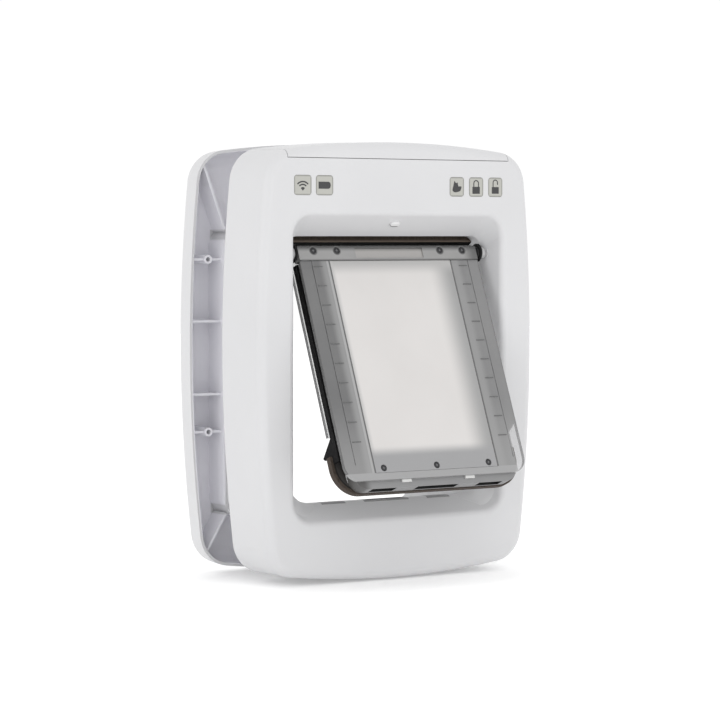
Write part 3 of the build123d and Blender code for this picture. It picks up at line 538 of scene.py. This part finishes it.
looks = {
    "interior_housing": shell, "battery_cover": shell, "exterior_frame": outer_frame(),
    "interior_back_plate": inner_shell, "tunnel_sleeve": inner_shell, "battery_tray": inner_shell,
    "soffit_sensor": sensor_nub(), "back_plate_screws": steel, "battery_contacts": steel,
    "hinge_pin_right": steel, "hinge_pin_left": steel, "motor_shaft": steel, "lock_motor": steel,
    "flap_top_screws": fixing, "flap_bottom_screws": fixing,
    "sill_magnets": magnet, "flap_magnets": magnet, "lock_plate": magnet,
    "lock_bolt": dark, "key_switches": dark, "lock_pinion": gear,
    "control_board": board(), "indicator_leds": lamp, "antenna_loop": coil(),
    "top_seal": top_seal(), "flap_bottom_seal": bottom_seal(),
    "flap_side_seal_right": rubber, "flap_side_seal_left": rubber,
    "hinge_bush_right": bush, "hinge_bush_left": bush,
    "flap_clamp_strip": clamp_strip(), "flap_front_panel": front_panel(), "flap_rear_panel": rear_panel(),
    "flap_window": frosted_window(), "flap_inner_frame": flap_core(),
}
for number in (1, 2, 3, 4):
    looks[f"battery_cell_{number}"] = jacket
for name, centre in zip(("wifi_lens", "battery_lens"), LENS_X):
    looks[name] = tile_face(name + "_face", centre, LENS_HALF_WIDTH)
for name, centre in zip(("auto_key", "lock_key", "unlock_key"), KEY_X):
    looks[name] = tile_face(name + "_face", centre, KEY_HALF_WIDTH)
for name, shader in looks.items():
    slots = nodes[name].data.materials
    slots.clear()
    slots.append(shader.material)


# Pieces

def arc(radius, start, end, steps=14):
    angles = [radians(start + (end - start) * step / steps) for step in range(steps + 1)]
    return [(radius * cos(angle), radius * sin(angle)) for angle in angles]


def skin(work, rings):
    """Faces between outlines that follow each other."""
    faces = []
    for near, far in zip(rings, rings[1:]):
        for index in range(len(near)):
            follow = (index + 1) % len(near)
            faces.append(work.faces.new((near[index], near[follow], far[follow], far[index])))
    return faces


def add_piece(name, work, shader, body):
    """Turn a finished bmesh into a piece that rides on a body."""
    bmesh.ops.recalc_face_normals(work, faces=work.faces)
    mesh = bpy.data.meshes.new(name)
    work.to_mesh(mesh)
    work.free()
    mesh.materials.append(shader.material)
    piece = bpy.data.objects.new(name, mesh)
    bpy.context.scene.collection.objects.link(piece)
    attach(piece, body)


def raised(name, outlines, place, shader, height, body):
    """Flat outlines, raised a little, set by the place function into the shared frame."""
    work = bmesh.new()
    for outline in outlines:
        low = [work.verts.new(place(x, 0.0, z)) for x, z in outline]
        high = [work.verts.new(place(x, -height, z)) for x, z in outline]
        work.faces.new(high)
        skin(work, [low, high])
    add_piece(name, work, shader, body)


# Signs on the tiles

def band(radius, width, start, end, rise=0.0):
    """Part of a ring, as one closed outline."""
    outline = arc(radius + width / 2, start, end) + arc(radius - width / 2, end, start)
    return [(x, z + rise) for x, z in outline]


def plate(x_low, x_high, z_low, z_high, radius=0.35):
    """Rectangle with rounded corners."""
    outline = []
    for x, z, start in ((x_high, z_high, 0), (x_low, z_high, 90), (x_low, z_low, 180), (x_high, z_low, 270)):
        inward_x = x - radius if x == x_high else x + radius
        inward_z = z - radius if z == z_high else z + radius
        outline += [(inward_x + dx, inward_z + dz) for dx, dz in arc(radius, start, start + 90, 4)]
    return outline


def wifi_sign():
    fan = [(0.0, -4.1)] + [(x, z - 4.0) for x, z in arc(2.5, 44, 136, 8)]
    return [fan, band(4.3, 1.0, 47, 133, -3.9), band(6.4, 1.05, 45, 135, -3.9)]


def battery_sign():
    body = [(-6.7, -3.3), (4.8, -3.3), (6.3, -2.3), (6.9, 0.0), (6.3, 2.3), (4.8, 3.3), (-6.7, 3.3)]
    return [body]


def pet_sign():
    """Generic seated cat with a small dog in front of it."""
    cat = [
        (-3.2, -4.6), (-4.7, -3.2), (-4.4, -1.2), (-3.7, 0.8), (-3.3, 2.8), (-2.5, 5.4), (-1.6, 3.9),
        (-0.4, 3.3), (1.0, 3.9), (1.1, 2.2), (1.6, 0.9), (2.2, 0.0),
    ]
    dog = [
        (3.0, 0.7), (3.6, 0.3), (4.9, 0.5), (5.0, -0.9), (4.3, -2.2), (3.8, -3.6), (2.0, -4.3), (-1.2, -4.9),
    ]
    return [cat + dog]


def lock_sign(lift, cut):
    """Padlock; lift raises its shackle, and cut shortens the leg that is out of the body."""
    body = plate(-3.6, 3.6, -5.4, 0.2)
    top = 2.9 + lift
    bow = band(2.3, 0.85, 0, 180, top)
    left = plate(-2.725, -1.875, 0.1, top + 0.1, 0.05)
    right = plate(1.875, 2.725, 0.1 + cut, top + 0.1, 0.05)
    return [body, bow, left, right]


def on_tile(centre_x):
    return lambda x, y, z: Vector((centre_x + x, FACE_Y + y, TILE_Z + z)) * MM


signs = (
    ("wifi_sign", wifi_sign(), 1.35, LENS_X[0], "frame"),
    ("battery_sign", battery_sign(), 1.05, LENS_X[1], "frame"),
    ("pet_sign", pet_sign(), 1.15, KEY_X[0], "auto_key"),
    ("locked_sign", lock_sign(0.0, 0.0), 1.28, KEY_X[1], "lock_key"),
    ("unlocked_sign", lock_sign(0.9, 2.0), 1.22, KEY_X[2], "unlock_key"),
)
for name, outlines, size, centre_x, body in signs:
    sized = [[(size * x, size * z) for x, z in outline] for outline in outlines]
    raised(name, sized, on_tile(centre_x), ink, SIGN_HEIGHT, body)


# Drives of the flap's screws

def on_flap(head_x, head_y, head_z):
    """Place function for a screw head, given from the hinge axis as the flap hangs closed."""
    turn = Matrix.Rotation(-OPEN_ANGLE, 3, "X")
    return lambda x, y, z: (turn @ Vector((head_x + x, head_y + y, head_z + z)) + HINGE) * MM


def cross(arm=1.2, half=0.3):
    return [
        (-half, half), (-half, arm), (half, arm), (half, half), (arm, half), (arm, -half),
        (half, -half), (half, -arm), (-half, -arm), (-half, -half), (-arm, -half), (-arm, half),
    ]


screw_rows = (
    ("top", [side * x for side in (-1, 1) for x in STRIP_SCREW_X], STRIP_HEAD_Y, STRIP_SCREW_Z),
    ("bottom", FOOT_SCREW_X, FOOT_HEAD_Y, FOOT_SCREW_Z),
)
for row, places, head_y, head_z in screw_rows:
    for number, head_x in enumerate(places, 1):
        head = on_flap(head_x, head_y, head_z)
        raised(f"drive_{row}_{number}", [cross()], head, drive, DRIVE_HEIGHT, "flap")


# Rounded corners of the sill

def opening_at(y):
    """Half width and bottom of the opening of the inside frame at depth y."""
    if y < LIP_FRONT_Y:
        share = (LIP_FRONT_Y - y) / (LIP_FRONT_Y - FACE_Y)
        return LIP_HALF_WIDTH + SIDE_FLARE * share, LIP_BOTTOM - SILL_FLARE * share
    share = max(0.0, (y - LIP_BACK_Y) / (DOOR_Y - LIP_BACK_Y))
    return LIP_HALF_WIDTH + SIDE_DRAIN * share, LIP_BOTTOM - SILL_DRAIN * share


def corner_outline(side, y, radius):
    """Outline at depth y: the rounded corner, closed behind the wall and under the sill."""
    half_width, bottom = opening_at(y)
    centre_x, centre_z = half_width - radius, bottom + radius
    outline = [(centre_x + dx, centre_z + dz) for dx, dz in arc(radius, 270, 360, CORNER_STEPS)]
    outline.append((half_width + CORNER_EMBED, centre_z))
    outline.append((half_width + CORNER_EMBED, bottom - CORNER_EMBED))
    outline.append((centre_x, bottom - CORNER_EMBED))
    return [Vector((side * x, y, z)) * MM for x, z in outline]


def sill_corner(name, side):
    """Moulded fillet that follows the round corner of the flap, fading into the flare and the drain."""
    work = bmesh.new()
    rings = []
    for y, radius in CORNER_STATIONS:
        rings.append([work.verts.new(point) for point in corner_outline(side, y, radius)])
    for index, face in enumerate(skin(work, rings)):
        face.smooth = index % len(rings[0]) < CORNER_STEPS
    work.faces.new(rings[0])
    work.faces.new(rings[-1])
    add_piece(name, work, shell, "frame")


sill_corner("sill_corner_left", -1)
sill_corner("sill_corner_right", 1)


# Rubber rings round the hinge bushes

def hinge_gasket(name, side):
    """Black ring between the flap and the post, round the collar of the bush."""
    profile = (
        (RING_INNER, RING_NEAR_X), (RING_OUTER - RING_CHAMFER, RING_NEAR_X),
        (RING_OUTER, RING_NEAR_X + RING_CHAMFER), (RING_OUTER, RING_FAR_X), (RING_INNER, RING_FAR_X),
    )
    work = bmesh.new()
    rings = []
    for dy, dz in arc(1.0, 0, 360, RING_STEPS)[:-1]:
        points = [Vector((side * x, radius * dy, radius * dz)) + HINGE for radius, x in profile]
        rings.append([work.verts.new(point * MM) for point in points])
    skin(work, rings + rings[:1])
    add_piece(name, work, rubber, "frame")


hinge_gasket("hinge_gasket_left", -1)
hinge_gasket("hinge_gasket_right", 1)


# Stage

FLOOR_HALF = 6.0
FLOOR_DROP = 0.0005
CAMERA_PLACE = (-1.49782, -2.30060, 0.11237)
CAMERA_TILT = 87.3336
CAMERA_TURN = -33.0
CAMERA_LENS = 133.13


def stage_floor():
    """White paper that glows a little, so that the object's shadow on it stays faint."""
    level = cad_box[0][2] - FLOOR_DROP
    corners = [(x * FLOOR_HALF, y * FLOOR_HALF, level) for x, y in ((-1, -1), (1, -1), (1, 1), (-1, 1))]
    mesh = bpy.data.meshes.new("floor")
    mesh.from_pydata(corners, [], [(0, 1, 2, 3)])
    floor = bpy.data.objects.new("floor", mesh)
    bpy.context.scene.collection.objects.link(floor)
    shader = Shader("floor_paper").set(Specular_IOR_Level=0.0, Emission_Strength=0.16)
    shader.colour(shader.ramp(shader.noise(2.0), grey(0.985), grey(0.995)))
    shader.rough(shader.noise(5.0), 0.85, 0.95)
    mesh.materials.append(shader.material)


def soft_light(name, place, target, size, power):
    data = bpy.data.lights.new(name, "AREA")
    data.shape = "SQUARE"
    data.size = size
    data.energy = power
    light = bpy.data.objects.new(name, data)
    light.location = place
    light.rotation_euler = (Vector(target) - Vector(place)).to_track_quat("-Z", "Y").to_euler()
    bpy.context.scene.collection.objects.link(light)


def white_world(strength):
    world = bpy.data.worlds.new("studio")
    world.use_nodes = True
    background = world.node_tree.nodes["Background"]
    background.inputs["Color"].default_value = (1.0, 1.0, 1.0, 1.0)
    background.inputs["Strength"].default_value = strength
    bpy.context.scene.world = world


def photo_camera():
    data = bpy.data.cameras.new("camera")
    data.sensor_width = 36.0
    data.lens = CAMERA_LENS
    data.clip_end = 50.0
    camera = bpy.data.objects.new("camera", data)
    camera.location = CAMERA_PLACE
    camera.rotation_euler = (radians(CAMERA_TILT), 0.0, radians(CAMERA_TURN))
    bpy.context.scene.collection.objects.link(camera)
    bpy.context.scene.camera = camera


stage_floor()
soft_light("key_light", (-3.0, -0.7, 0.8), (0, 0, 0), 1.6, 7.0)
soft_light("fill_light", (0.3, -3.0, 0.2), (0, 0, -0.15), 1.4, 8.0)
soft_light("top_light", (0.0, 0.4, 2.8), (0, 0, 0), 1.6, 4.0)
white_world(1.02)
photo_camera()
bpy.context.scene.view_settings.view_transform = "Standard"
